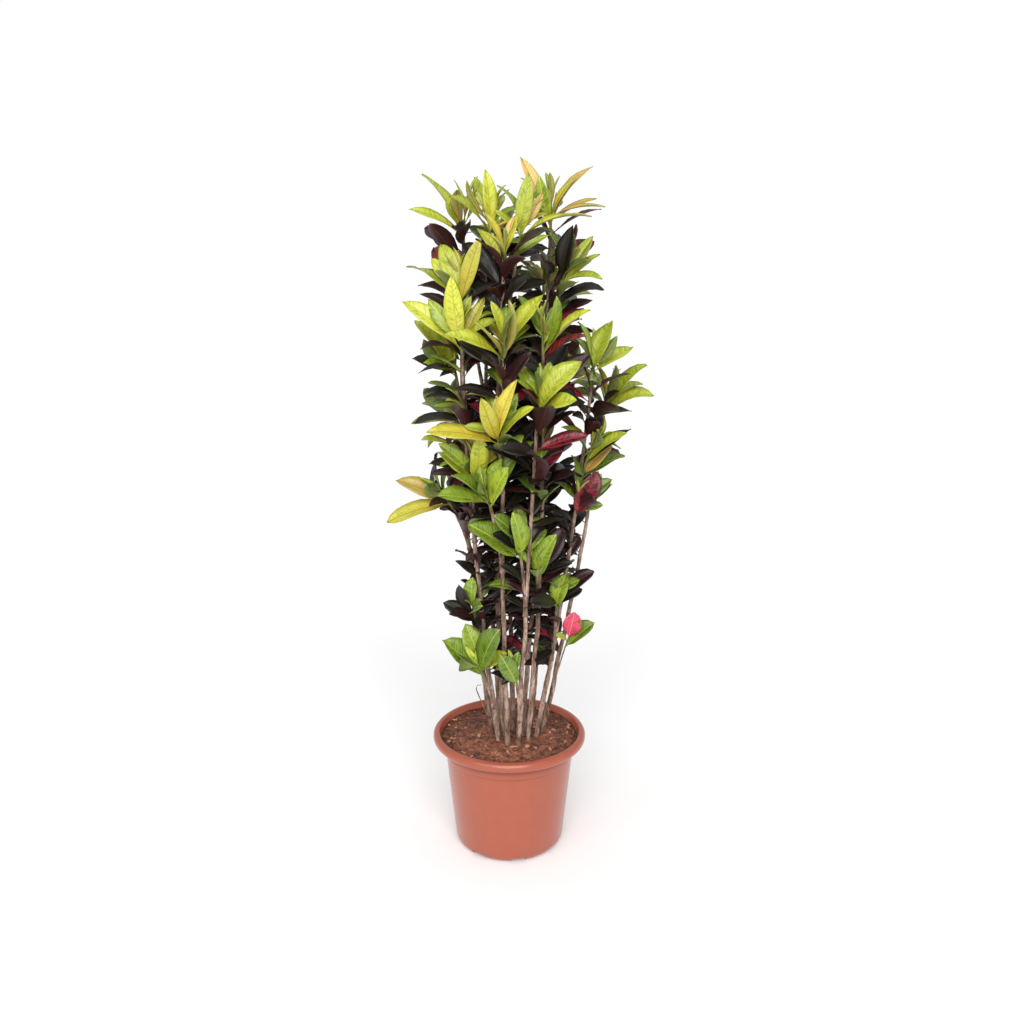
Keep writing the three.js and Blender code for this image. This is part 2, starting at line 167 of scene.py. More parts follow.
# %% Camera
CAMERA_PLACE = (0.008, -2.4, 1.525)
CAMERA_PITCH = 12.3
CAMERA_LENS = 30.7
SENSOR_WIDTH = 36
camera = bpy.data.objects.new("camera", bpy.data.cameras.new("camera"))
camera.data.lens = CAMERA_LENS
camera.data.sensor_width = SENSOR_WIDTH
camera.location = CAMERA_PLACE
camera.rotation_euler = (math.radians(90 - CAMERA_PITCH), 0, 0)
bpy.context.collection.objects.link(camera)
bpy.context.scene.camera = camera
print("camera:", CAMERA_LENS, "mm lens,", CAMERA_PLACE[2], "m up")

# %% Floor
FLOOR_REACH = 60
bm = bmesh.new()
bmesh.ops.create_grid(bm, x_segments=1, y_segments=1, size=FLOOR_REACH)
floor = new_object("floor", bm)
paper, tree, shader = new_finish("white_studio_paper")
feed(shader, [("Base Color", linear("#ffffff")), ("Roughness", 0.9)])
floor.data.materials.append(paper)
print("floor:", 2 * FLOOR_REACH, "m wide")

# %% [markdown]
# A studio is lit by large soft surfaces. A sun with a wide angle casts such soft shadows, a square lamp at
# the left adds highlights on the waxed leaves, and a white world, brighter to the camera than to the plant,
# fills the rest.

# %% Light
def add_light(name, kind, power, way, place=(0, 0, 0)):
    """Adds a light that shines along a way, and returns its settings."""
    light = bpy.data.lights.new(name, kind)
    light.energy = power
    holder = bpy.data.objects.new(name, light)
    holder.location = place
    holder.rotation_euler = Vector(way).to_track_quat("-Z", "Y").to_euler()
    bpy.context.collection.objects.link(holder)
    return light


softbox = add_light("softbox", "SUN", 2.5, (-0.03, 1.0, -0.64))
softbox.angle = math.radians(50)
WINDOW_PLACE, WINDOW_TARGET = Vector((-2.2, -2.4, 2.6)), Vector((0, 0, 1.2))
window = add_light("window", "AREA", 16, WINDOW_TARGET - WINDOW_PLACE, WINDOW_PLACE)
window.size = 1.2
world = bpy.data.worlds.new("white_surround")
world.use_nodes = True
seen = add_node(world.node_tree, "LightPath").outputs["Is Camera Ray"]
strength = remap(world.node_tree, seen, 0, 1, 0.63, 1.02)
feed(world.node_tree.nodes["Background"], [("Color", (1, 1, 1, 1)), ("Strength", strength)])
bpy.context.scene.world = world
bpy.context.scene.view_settings.view_transform = "Standard"
print("lights:", softbox.name, window.name, world.name)

# %% [markdown]
# ## The pot
# A nursery pot is moulded polypropylene, a few millimetres thick, with a rolled rim to lift it by, a narrow
# collar that stiffens it, and channels under its foot that let water out. It is round, so we draw half of
# its section as a chain of vertices and spin it. A Screw modifier would do too, but bmesh keeps every ring
# at hand, so each corner can be bevelled to the radius of the mould.

# %% Pot section, in millimetres
POT_HEIGHT, RIM_RADIUS, RIM_INNER, RIM_BOTTOM = 345, 225, 207, 316
COLLAR_RADIUS, COLLAR_BOTTOM, BASE_RADIUS, WALL, FLOOR, FLOOR_CORNER = 193, 282, 159, 4, 20, 23
SHOULDER_RADIUS, SHOULDER_HEIGHT = COLLAR_RADIUS - 5, COLLAR_BOTTOM - 4
POT_STEPS = 144
pot_section = [
    (0, 0), (BASE_RADIUS, 0), (SHOULDER_RADIUS, SHOULDER_HEIGHT), (COLLAR_RADIUS, COLLAR_BOTTOM),
    (COLLAR_RADIUS + 1, RIM_BOTTOM), (RIM_RADIUS, RIM_BOTTOM), (RIM_RADIUS, POT_HEIGHT),
    (RIM_INNER, POT_HEIGHT),
    (SHOULDER_RADIUS - WALL, SHOULDER_HEIGHT), (BASE_RADIUS - WALL, FLOOR_CORNER),
    (BASE_RADIUS - 2 * WALL, FLOOR), (0, FLOOR),
]
CORNER_RADII = {(BASE_RADIUS, 0): 22, (COLLAR_RADIUS, COLLAR_BOTTOM): 3, (RIM_RADIUS, RIM_BOTTOM): 13.5,
                (RIM_RADIUS, POT_HEIGHT): 14, (RIM_INNER, POT_HEIGHT): 3.5}
print("pot:", 2 * RIM_RADIUS, "mm across and", POT_HEIGHT, "mm tall, corners:", len(pot_section))

# %% Spin and bevel the pot
pot = bmesh.new()
chain = [pot.verts.new(Vector((r, 0, z)) * MM) for r, z in pot_section]
edges = [pot.edges.new(pair) for pair in zip(chain, chain[1:])]
bmesh.ops.spin(pot, geom=chain + edges, axis=(0, 0, 1), cent=(0, 0, 0), angle=math.tau, steps=POT_STEPS,
               use_merge=True)
bmesh.ops.remove_doubles(pot, verts=pot.verts, dist=1e-6)
for (r, z), corner in CORNER_RADII.items():
    ring = [e for e in pot.edges if all(
        abs(v.co.z - z * MM) < 1e-6 and abs(v.co.xy.length - r * MM) < 1e-5 for v in e.verts)]
    bmesh.ops.bevel(pot, geom=ring, offset=corner * MM, offset_type="OFFSET", affect="EDGES", segments=6,
                    profile=0.5, material=-1)
bmesh.ops.recalc_face_normals(pot, faces=pot.faces)
print("pot faces before the channels:", len(pot.faces))

# %% [markdown]
# ### Moulded polypropylene
# Moulded plastic has a soft broad sheen. Pigment that didn't mix evenly mottles it, about 30 mm across, and
# a grain of 1 mm from the mould breaks up the highlight. Dust dulls the foot. A ramp over the height paints
# shade into the colour: dark bands under the rim and under the collar, where those overhangs would shade the
# wall.

# %% Pot finish
# painted shade under collar and rim: height as a share of the span below, in metres, then its darkness
CREASE_SHADE_FROM, CREASE_SHADE_TO = 0.27, 0.32
CREASE_SHADE_STOPS = ((0.1, 0), (0.18, 0.5), (0.22, 0), (0.44, 0), (0.64, 0.6), (0.9, 0.6), (0.93, 0))
DUST_HEIGHT, DUST_SHARE = 0.06, 0.35
terracotta, tree, shader = new_finish("moulded_terracotta_polypropylene")
place = add_node(tree, "TexCoord").outputs["Object"]
height = add_node(tree, "SeparateXYZ", [("Vector", place)]).outputs["Z"]
cloud = add_noise(tree, place, 32, 3)
tint = blend(tree, cloud, linear("#9c4b34"), linear("#a4533a"))
dusty = blend(tree, remap(tree, height, DUST_HEIGHT, 0, 0, DUST_SHARE), tint, linear("#93513d"))
# painted shade: a ramp over the height darkens bands under the collar and the rim, where they would be shaded
painted_crease_shade = add_ramp(tree, remap(tree, height, CREASE_SHADE_FROM, CREASE_SHADE_TO),
                 [(at, (depth, depth, depth, 1)) for at, depth in CREASE_SHADE_STOPS])
with_painted_crease_shade = blend(tree, painted_crease_shade, dusty, linear("#6a2c1a"))
grain = add_noise(tree, place, 900, 2)
bump = add_bump(tree, grain, 0.12, 0.0004)
feed(shader, [("Base Color", with_painted_crease_shade), ("Roughness", remap(tree, cloud, 0, 1, 0.27, 0.36)), ("Normal", bump),
              ("IOR", 1.49), ("Coat Weight", 0.3), ("Coat Roughness", 0.07)])

# %% [markdown]
# ### Drainage channels
# Water leaves through channels under the foot. One shows in the photograph as a notch in the foot's outline.
# A Boolean with a ring of boxes cuts them all. The corner is so round that only a high channel shows from
# above, so they are high, under a thick floor.

# %% Cut the drainage channels
DRAINS, DRAIN_WIDTH, DRAIN_HEIGHT, DRAIN_REACH, FIRST_DRAIN = 8, 46, 16, 40, math.radians(10)
cutter = bmesh.new()
for i in range(DRAINS):
    turn = Matrix.Rotation(i * math.tau / DRAINS + FIRST_DRAIN, 4, "Z")
    shape = Matrix.Translation((BASE_RADIUS * MM, 0, 0))
    shape @= Matrix.Diagonal((2 * DRAIN_REACH * MM, DRAIN_WIDTH * MM, 2 * DRAIN_HEIGHT * MM, 1))
    bmesh.ops.create_cube(cutter, size=1, matrix=turn @ shape)
boxes = new_object("drain_cutter", cutter)
pot_piece = new_piece("nursery_pot", pot, [terracotta], ["pot"])
cut = pot_piece.modifiers.new("drains", "BOOLEAN")
cut.object = boxes
cut.operation = "DIFFERENCE"
cut.solver = "EXACT"
dressed = bpy.data.meshes.new_from_object(pot_piece.evaluated_get(bpy.context.evaluated_depsgraph_get()))
pot_piece.modifiers.clear()
pot_piece.data = dressed
bpy.data.objects.remove(boxes)
dressed.set_sharp_from_angle(angle=math.radians(38))
print("pot faces with", DRAINS, "channels:", len(dressed.polygons))

# %% [markdown]
# ## How the plant is laid out
# Each cutting stands at a foot in the soil. Its first shoot is the leader, and the others branch off it. A
# shoot ends in a heart, where its leaves meet. The leaves that give the plant its outline are aimed at listed
# tips, each with its colour in the photograph, and the rest follow the golden angle, as on most living
# shoots. The same values place the CAD leaves, so each fine leaf lands on its CAD leaf.

# %% Layout of the cuttings, in millimetres
# a foot and its shoots: name, share of the leader at which it branches, heart, length of the old leafy part,
# number of young leaves, and the tips that are aimed
CUTTINGS = [
    ((-38, -2), [
        ("crown_left", None, (-115, -30, 1785), 190, 9, [
            ((-225, -40, 1900), "lime"), ((-255, -60, 1805), "lime"), ((-170, -110, 1785), "burgundy")]),
        ("left_upper", 0.66, (-150, -45, 1425), 0, 8, [
            ((-265, -60, 1530), "lime"), ((-255, -70, 1430), "dark"), ((-215, -110, 1430), "fresh")]),
        ("left_lower", 0.42, (-185, -50, 1070), 0, 8, [
            ((-310, -60, 1110), "tan"), ((-335, -60, 985), "yellow"), ((-215, -110, 1040), "burgundy")]),
        ("left_foot", 0.2, (-100, -60, 735), 0, 6, [
            ((-185, -60, 755), "dark"), ((-155, -90, 795), "burgundy"), ((-160, -110, 725), "dark")])]),
    ((-22, -36), [
        ("shoulder_left", None, (-125, -100, 1620), 200, 8, [
            ((-70, -130, 1730), "yellow"), ((-265, -60, 1665), "lime"), ((-180, -60, 1715), "lime")]),
        ("front_left_high", 0.76, (-120, -165, 1500), 0, 8, [
            ((-280, -150, 1585), "lime"), ((-140, -210, 1635), "lime"), ((-80, -200, 1605), "yellow")]),
        ("front_left_middle", 0.5, (-90, -160, 1155), 0, 8, [
            ((-145, -210, 1260), "lime"), ((-185, -150, 1195), "lime"), ((-210, -120, 1135), "burgundy")]),
        ("front_left_foot", 0.13, (-85, -110, 585), 0, 6, [
            ((-180, -130, 670), "fresh"), ((-135, -110, 705), "fresh"), ((-40, -150, 720), "green"),
            ((-25, -180, 635), "lime")])]),
    ((0, -54), [
        ("front_high", None, (-10, -190, 1480), 180, 9, [
            ((-160, -240, 1495), "lime"), ((-85, -270, 1525), "lime"), ((0, -270, 1575), "tan"),
            ((55, -230, 1630), "lime")]),
        ("front_middle", 0.68, (-30, -205, 1265), 0, 9, [
            ((30, -270, 1420), "yellow"), ((-225, -230, 1250), "yellow"), ((-80, -250, 1340), "yellow"),
            ((0, -285, 1360), "lime")]),
        ("front_low", 0.5, (-60, -190, 1100), 0, 8, [
            ((0, -250, 1170), "fresh"), ((-135, -250, 1160), "green"), ((-185, -210, 1090), "fresh"),
            ((30, -230, 1195), "green")])]),
    ((24, -60), [
        ("front_right_middle", None, (75, -200, 1340), 210, 8, [
            ((180, -230, 1430), "lime"), ((165, -280, 1340), "lime"), ((30, -260, 1395), "fresh"),
            ((122, -215, 1460), "yellow")]),
        ("front_right_low", 0.45, (25, -175, 960), 0, 7, [
            ((-105, -190, 1010), "green"), ((10, -230, 1050), "fresh"), ((90, -210, 1050), "green")]),
        ("front_foot", 0.14, (15, -122, 580), 0, 5, [
            ((-25, -160, 640), "green"), ((50, -160, 640), "green"), ((15, -180, 540), "dark")])]),
    ((47, -42), [
        ("front_right_high", None, (85, -170, 1500), 190, 8, [
            ((200, -200, 1555), "lime"), ((115, -230, 1585), "fresh"), ((230, -120, 1560), "crimson")]),
        ("right_low_front", 0.4, (72, -145, 890), 0, 7, [
            ((5, -210, 950), "green"), ((145, -200, 970), "fresh"), ((170, -130, 890), "dark")])]),
    ((66, -16), [
        ("right_upper", None, (225, -60, 1425), 180, 8, [
            ((175, -150, 1525), "fresh"), ((240, -60, 1530), "lime"), ((285, -50, 1525), "lime"),
            ((330, -40, 1460), "lime")]),
        ("right_middle", 0.68, (220, -75, 1195), 0, 8, [
            ((310, -80, 1275), "burgundy"), ((310, -110, 1240), "lime")]),
        ("right_lower", 0.52, (185, -90, 1060), 0, 8, [
            ((265, -100, 1125), "crimson"), ((280, -70, 1095), "green"), ((255, -60, 1045), "green")]),
        ("right_foot", 0.27, (135, -75, 790), 0, 6, [
            ((185, -80, 855), "fresh"), ((205, -60, 795), "dark")])]),
    ((80, 8), [
        ("right_far", None, (265, 15, 1325), 0, 9, [
            ((365, 0, 1425), "lime"), ((405, -20, 1360), "lime"), ((340, -30, 1315), "burgundy")]),
        ("right_twig", 0.17, (176, -20, 653), 0, 4, [
            ((238, -22, 694), "green"), ((126, -45, 652), "lime"), ((212, -12, 728), "coral")])]),
    ((-10, -12), [
        ("centre_collar", None, (-10, -130, 1690), 200, 8, [
            ((-80, -200, 1720), "burgundy"), ((90, -210, 1740), "burgundy"), ((-5, -240, 1740), "lime")]),
        ("crown_centre", 0.72, (35, -85, 1770), 0, 8, [
            ((50, -110, 1885), "lime"), ((215, -150, 1780), "lime"), ((90, -160, 1815), "green")])]),
    ((35, -14), [
        ("crown_right", None, (110, -20, 1815), 230, 10, [
            ((25, -20, 1945), "tan"), ((195, 0, 1945), "tan"), ((95, -60, 1900), "fresh"),
            ((215, -10, 1885), "yellow"), ((230, 10, 1840), "tan"), ((265, -10, 1780), "tan")]),
        ("shoulder_right", 0.76, (150, -65, 1665), 0, 8, [
            ((235, -60, 1695), "lime"), ((235, -130, 1630), "lime"), ((160, -120, 1760), "dark")])]),
    ((-16, 18), [
        ("crown_middle", None, (-50, -50, 1790), 220, 9, [
            ((-60, -70, 1900), "lime"), ((-5, -20, 1900), "tan"), ((-145, -150, 1825), "lime"),
            ((-10, -160, 1840), "yellow")]),
        ("back_left_upper", 0.66, (-125, 130, 1560), 0, 9, []),
        ("back_left", 0.5, (-165, 110, 1270), 0, 10, [])]),
    ((13, 22), [
        ("back_crown", None, (-20, 110, 1745), 230, 9, []),
        ("back_upper", 0.62, (15, 205, 1430), 0, 9, []),
        ("back_low", 0.42, (-75, 170, 1030), 0, 9, [])]),
    ((56, 30), [
        ("back_right_upper", None, (95, 125, 1630), 230, 9, []),
        ("back_right", 0.66, (175, 150, 1370), 0, 9, []),
        ("back_right_low", 0.45, (85, 185, 1130), 0, 9, [])]),
]
# how slim the slender shoots are, and how long the leaves of the short-leaved ones are
SLENDER = {"right_twig": 0.5}
SHORT_LEAVED = {"front_foot": 85, "right_twig": 85}
print("cuttings:", len(CUTTINGS), "shoots:", sum(len(shoots) for _, shoots in CUTTINGS))

# %% [markdown]
# ## The lines that the wood follows
# A limb is a quadratic curve: it leaves halfway between the direction of what carries it and the straight
# way to its heart, so the stems fan out of the pot in gentle bows. Three control points hold one.

# %% Limb lines
SOIL_TOP, ROOTING_DEPTH, TIP_LENGTH, JOINT_GAP = 318, 60, 62, 0.3
LEADER_FOOT, BRANCH_FOOT, SHOOT_RADIUS, TIP_RADIUS = 8.8, 5.8, 4.2, 2.6
BUNDLE_CENTRE = Vector((18, -10, 0))
# how far a foot leans out for each millimetre that it stands from the bundle's centre
FOOT_LEAN = 0.005


def point_on(line, t):
    a, b, c = line
    return a * (1 - t) ** 2 + b * 2 * t * (1 - t) + c * t * t


def way_along(line, t):
    a, b, c = line
    return ((b - a) * (1 - t) + (c - b) * t).normalized()


def length_of(line, steps=200):
    """The length of a line, measured along many short straight pieces."""
    points = [point_on(line, i / steps) for i in range(steps + 1)]
    return sum((q - p).length for p, q in zip(points, points[1:]))


def limb_line(start, direction, heart):
    way = heart - start
    leaving = (way.normalized() + direction).normalized()
    return start, start + leaving * way.length / 2, heart


limbs = []
for number, (foot, shoots) in enumerate(CUTTINGS, 1):
    leader = None
    for name, branch_at, heart, old, leaves, aims in shoots:
        start = point_on(leader, branch_at) if leader else Vector((*foot, SOIL_TOP - ROOTING_DEPTH))
        lean = (start - BUNDLE_CENTRE) * FOOT_LEAN
        way = way_along(leader, branch_at) if leader else Vector((lean.x, lean.y, 1)).normalized()
        line = limb_line(start, way, Vector(heart))
        length = length_of(line)
        tip_from = 1 - min(TIP_LENGTH, 0.4 * length) / length
        limbs.append(dict(number=number, name=name, is_leader=leader is None, line=line, length=length,
                          old=old, tip_from=tip_from, old_from=tip_from - old / length, heart=heart,
                          leaves=leaves, aims=aims))
        leader = leader or line
print("metres of wood:", round(sum(limb["length"] for limb in limbs) * MM, 1))

# %% [markdown]
# ## Woody stems
# A croton's stem is grey-tan bark over wood, thin enough to bow, and ringed every few centimetres where a
# leaf once sat. We sweep each limb from one circle: extrude its edge, move the new ring along the line, and
# repeat. The radius swells at the rings and where a branch leaves its stem, and the line wanders a few
# millimetres, which keeps the bundle from looking like plumbing.

# %% Sweep the wood
LIMB_RING_STEP, LIMB_SIDES = 11, 10
SCAR_SPACING = (26, 38)
WANDER, CALM_LENGTH = 5, 120
COLLAR_SWELL, COLLAR_LENGTH = 3, 9


def next_ring(bm, ring):
    """Extrudes a ring of vertices and returns the new ring in the same order."""
    edges = {e for v in ring for e in v.link_edges if e.other_vert(v) in ring}
    grown = bmesh.ops.extrude_edge_only(bm, edges=list(edges))["geom"]
    fresh = {v for v in grown if isinstance(v, bmesh.types.BMVert)}
    return [next(e.other_vert(v) for e in v.link_edges if e.other_vert(v) in fresh) for v in ring]


def sweep(bm, stations, sides, young, seed):
    """Carries a circle along stations of (centre, direction, radius, youth) and closes both ends."""
    ring = bmesh.ops.create_circle(bm, segments=sides, radius=1)["verts"]
    flat = [v.co.copy() for v in ring]
    for i, (centre, along, radius, youth) in enumerate(stations):
        ring = next_ring(bm, ring) if i else ring
        turn = along.to_track_quat("Z", "Y")
        for v, place in zip(ring, flat):
            lump = 1 + 0.06 * noise.noise(Vector((place.x * 2, place.y * 2 + seed, i * 0.55)))
            v.co = (centre + turn @ (place * radius * lump)) * MM
            v[young] = youth
        if i == 0:
            bmesh.ops.contextual_create(bm, geom=ring)
    bmesh.ops.contextual_create(bm, geom=ring)


def limb_stations(limb):
    """Steps along a limb: its place, direction, radius and how young it is."""
    line, length, tip_from = limb["line"], limb["length"], limb["tip_from"]
    girth = SLENDER.get(limb["name"], 1)
    foot = LEADER_FOOT if limb["is_leader"] else BRANCH_FOOT * girth
    seed = limb["heart"][0] + limb["heart"][2]
    steps = max(4, round(length / LIMB_RING_STEP))
    for i in range(steps + 1):
        t = i / steps
        past = t * length
        into_tip = max(0, (t - tip_from) / (1 - tip_from))
        radius = mix(foot, SHOOT_RADIUS * girth, min(1, t / tip_from) ** 0.6)
        if into_tip:
            radius = mix(SHOOT_RADIUS, TIP_RADIUS, into_tip) * girth
        scar = 0.5 + 0.5 * math.cos(math.tau * (past / mix(*SCAR_SPACING, draw(seed)) + draw(seed + 1)))
        radius *= 1 + 0.13 * scar ** 5 + 0.12 * noise.noise(Vector((past * 0.03, seed, 0)))
        if not limb["is_leader"]:
            radius += COLLAR_SWELL * math.exp(-past / COLLAR_LENGTH)
        leafless = max(0, length - past - limb["old"] - TIP_LENGTH)
        calm = min(1, past / CALM_LENGTH) * min(1, leafless / CALM_LENGTH)
        wander = Vector([noise.noise(Vector((past * 0.008, seed, plane))) for plane in (3, 9)] + [0])
        youth = min(1, into_tip * 1.6 + 0.25) if into_tip else 0.0
        yield point_on(line, t) + wander * WANDER * calm, way_along(line, t), radius, youth


# %% [markdown]
# ### Bark
# Croton bark is matt and grey-tan, paler where it weathers, with fine cracks along the stem about 2 mm
# apart. A stretched noise gives the patches and a finer one the cracks. Near the tip the bark is still green
# skin, which the vertex attribute `young` marks.

# %% Bark finish
bark, tree, shader = new_finish("croton_bark")
place = add_node(tree, "TexCoord").outputs["Object"]
stretched = add_node(tree, "Mapping", [("Vector", place), ("Scale", (1, 1, 0.22))])
patches = add_noise(tree, stretched, 70, 4, 0.65)
cracks = add_noise(tree, stretched, 420, 3)
tone = add_ramp(tree, patches, [
    (0.32, linear("#43301f")), (0.47, linear("#876a57")), (0.64, linear("#bda293"))])
weathered = blend(tree, 1.0, tone, remap(tree, cracks, 0.36, 0.5, 0.45), "MULTIPLY")
youth = add_node(tree, "Attribute", attribute_name="young").outputs["Fac"]
skin = blend(tree, youth, weathered, linear("#6f7a34"))
bump = add_bump(tree, cracks, 0.6, 0.0008)
feed(shader, [("Base Color", skin), ("Normal", bump), ("Roughness", 0.78)])

# %% [markdown]
# ## Bare twigs
# Two thin dead side shoots stick out of the foot of the bundle, and one of them has curled over. Each is a
# short round sweep along a few given points, on the cutting that it grows from.

# %% Bare twigs, in millimetres
TWIG_SIDES = 6
# the cutting that each grows from, its route, and its radius at the foot and at the tip
TWIGS = {
    1: ([(-56, -4, 376), (-66, -30, 405), (-76, -48, 440), (-87, -58, 472), (-95, -62, 496), (-91, -64, 508),
         (-79, -66, 510)], 2.4, 0.9),
    5: ([(52, -50, 420), (50, -66, 440), (38, -84, 462), (27, -94, 486)], 1.6, 0.7),
}


def twig_stations(points, thick, thin):
    route = [Vector(p) for p in points]
    last = len(route) - 1
    for i, place in enumerate(route):
        yield place, route[min(i + 1, last)] - route[max(i - 1, 0)], mix(thick, thin, i / last), 0.0


print("bare twigs:", len(TWIGS))

# %% [markdown]
# Each cutting is one piece of wood, so its limbs go into one mesh. A branch is sunk into its stem, where its
# swollen foot hides the seam.

# %% Make the twelve cuttings
for number in range(1, len(CUTTINGS) + 1):
    bm = bmesh.new()
    young = bm.verts.layers.float.new("young")
    for limb in limbs:
        if limb["number"] == number:
            sweep(bm, limb_stations(limb), LIMB_SIDES, young, limb["heart"][0])
    if number in TWIGS:
        sweep(bm, twig_stations(*TWIGS[number]), TWIG_SIDES, young, number)
    bmesh.ops.recalc_face_normals(bm, faces=bm.faces)
    new_piece(f"woody_cutting_{number:02d}", bm, [bark], [f"cutting_{number:02d}"])
print("cuttings made:", number)

# %% [markdown]
# ## Leaf colours
# A croton leaf is a leathery, waxed blade. The youngest are lime to butter yellow with green mottling along
# the side veins and a greener edge. With age the green and then the red pigments take over, until the oldest
# are nearly black above and wine red below. One recipe makes them all: a field colour, a mottle that runs
# with the side veins, a midrib, and an edge. The UV map `blade` is in millimetres, so the veins stay 8 mm
# apart on a leaf of any size, and the UV map `share` runs from 0 to 1 along and across.

# %% The leaf recipe
VEIN_SPACING, VEIN_SLANT, VEIN_SHARE = 8, 0.75, 0.28


def leaf_finish(name, heel, field, mottle, rib, edge, mottling=0.5, roughness=0.34, coat=0.2):
    finish, tree, shader = new_finish(name)
    blade, share = [add_node(tree, "SeparateXYZ", [("Vector", add_node(tree, "UVMap", uv_map=name))])
                    for name in ("blade", "share")]
    across = calculate(tree, "ABSOLUTE", blade.outputs["Y"])
    slant = calculate(tree, "MULTIPLY_ADD", across, -VEIN_SLANT, blade.outputs["X"])
    comb = calculate(tree, "PINGPONG", slant, VEIN_SPACING / 2)
    side_vein = remap(tree, comb, 0.2, 1.3, 1, 0, "SMOOTHSTEP")
    midrib = remap(tree, across, 0.7, 1.9, 1, 0, "SMOOTHSTEP")
    flow = add_node(tree, "CombineXYZ", [("X", slant), ("Y", blade.outputs["Y"])])
    stretch = add_node(tree, "Mapping", [("Vector", flow), ("Scale", (0.16, 0.05, 1))])
    cloud = add_noise(tree, stretch, 1, 3)
    patch = remap(tree, cloud, 0.62 - 0.3 * mottling, 0.74 - 0.2 * mottling, curve="SMOOTHSTEP")
    from_heel = remap(tree, share.outputs["X"], 0.15, 0.75, curve="SMOOTHSTEP")
    ground = blend(tree, from_heel, linear(heel), linear(field))
    mottled = blend(tree, patch, ground, linear(mottle))
    to_edge = calculate(tree, "ABSOLUTE", calculate(tree, "MULTIPLY_ADD", share.outputs["Y"], 2.0, -1.0))
    edged = blend(tree, remap(tree, to_edge, 0.62, 1, 0, 0.75), mottled, linear(edge))
    veined = blend(tree, calculate(tree, "MULTIPLY", side_vein, VEIN_SHARE), edged, linear(rib))
    ribbed = blend(tree, midrib, veined, linear(rib))
    relief = calculate(tree, "MAXIMUM", side_vein, midrib)
    bump = add_bump(tree, relief, 0.55, 0.0006, invert=True)
    own = add_node(tree, "Attribute", attribute_name="own").outputs["Fac"]
    hue, value = remap(tree, own, 0, 1, 0.512, 0.488), remap(tree, own, 0, 1, 0.78, 1.18)
    varied = add_node(tree, "HueSaturation", [("Hue", hue), ("Value", value), ("Color", ribbed)])
    feed(shader, [("Base Color", varied), ("Normal", bump), ("Roughness", roughness), ("Coat Weight", coat),
                  ("Coat Roughness", 0.22)])
    return finish


# %% [markdown]
# Nine colours, chosen against the photograph, cover the plant from crown to foot, with three
# undersides. A highlight shows most on dark leaves, so those get a rougher surface and a thinner coat of
# wax.

# %% Every leaf colour, upper side and underside
#               heel,      field,     mottle,    rib,       edge,      mottling
UPPER = {
    "lime": ("#cfca40", "#c0c63a", "#97a52b", "#a0a934", "#9fab33", 0.5),
    "yellow": ("#dcb93c", "#d0c240", "#b0ad36", "#a0912e", "#b6b23a", 0.45),
    "tan": ("#d8a356", "#cfae5c", "#b5a448", "#a5823f", "#b0a34a", 0.45),
    "fresh": ("#a8b838", "#90a62a", "#66821c", "#b4bd4a", "#74902a", 0.5),
    "green": ("#7d9424", "#6c861e", "#496419", "#a9b44c", "#59741c", 0.5),
    "dark": ("#1d170c", "#15150b", "#22130d", "#342a18", "#101009", 0.5),
    "burgundy": ("#3b1414", "#2d1010", "#170b09", "#4d2622", "#1b0b0a", 0.5),
    "crimson": ("#9c142a", "#861025", "#220b0c", "#8e2c35", "#361011", 0.6),
    "coral": ("#d63c58", "#d4405a", "#a82b45", "#e2788a", "#c0384f", 0.4),
}
UNDER = {
    "lime": ("#c2a354", "#b0ae58", "#9aa350", "#8a8a44", "#9ba24e", 0.4),
    "green": ("#8c9450", "#7a8b48", "#69783a", "#9aa860", "#70803e", 0.4),
    "dark": ("#4d1a1a", "#3b1415", "#270e0e", "#5e2a28", "#2d1010", 0.5),
}
OLD_KINDS = ("dark", "burgundy", "crimson")
UNDER_OF = {"yellow": "lime", "tan": "lime", "fresh": "green", "burgundy": "dark", "crimson": "dark",
            "coral": "dark"}
# roughness and coat weight
SHEEN = {"dark": (0.42, 0.08), "burgundy": (0.42, 0.08), "crimson": (0.4, 0.1), "green": (0.34, 0.2)}
upper_finishes = {kind: leaf_finish(f"waxed_leaf_{kind}", *colours, *SHEEN.get(kind, (0.35, 0.22)))
                  for kind, colours in UPPER.items()}
under_finishes = {kind: leaf_finish(f"leaf_underside_{kind}", *colours, roughness=0.5, coat=0.0)
                  for kind, colours in UNDER.items()}
KINDS = list(UPPER)
LEAF_FINISHES = [upper_finishes[k] for k in KINDS] + [under_finishes[UNDER_OF.get(k, k)] for k in KINDS]
print("leaf finishes:", len(upper_finishes) + len(under_finishes))

# %% [markdown]
# ## Growing one leaf
# Every leaf starts as the same flat grid of a few dozen faces, with its rows closer at the stalk, where the
# shape turns fastest. Each row is placed on an arc from root to tip, narrowed to the leaf's outline, and
# folded up along the midrib. A Solidify modifier gives the blade its thickness afterwards, and its material
# offset gives the underside its own colour.

# %% Blade outline and placing
BLADE_ROWS = (0, 0.06, 0.13, 0.2, 0.3, 0.42, 0.55, 0.68, 0.8, 0.91, 1)
BLADE_COLUMNS = 4
STALK_SHARE, STALK_HALF_WIDTH, BLADE_THICKNESS = 0.13, 2.0, 0.8
STALK_FOLD, TWIST, RIPPLE, CUP = 0.95, 0.7, 0.11, 0.10
# up to this height of the heart: least and greatest width as a share of the length, then how pointed it is
LEAF_SHAPES = [(800, 0.4, 0.5, 0.62), (1150, 0.37, 0.48, 0.66), (1450, 0.31, 0.42, 0.72),
               (1650, 0.27, 0.36, 0.78), (2000, 0.23, 0.32, 0.84)]
# how much wider or slimmer than that some kinds are
GIRTH = {"coral": 1.45, "yellow": 0.78, "tan": 0.76}
# old leaves are shaped as if their heart stood no higher than this
OLD_SHAPE_HEIGHT = 1300
# the cells of space, in millimetres, that leaves have taken so far
CELL = 12
taken = set()


def shape_at(height, luck):
    least, greatest, taper = next(row[1:] for row in LEAF_SHAPES if height < row[0])
    return mix(least, greatest, luck), taper


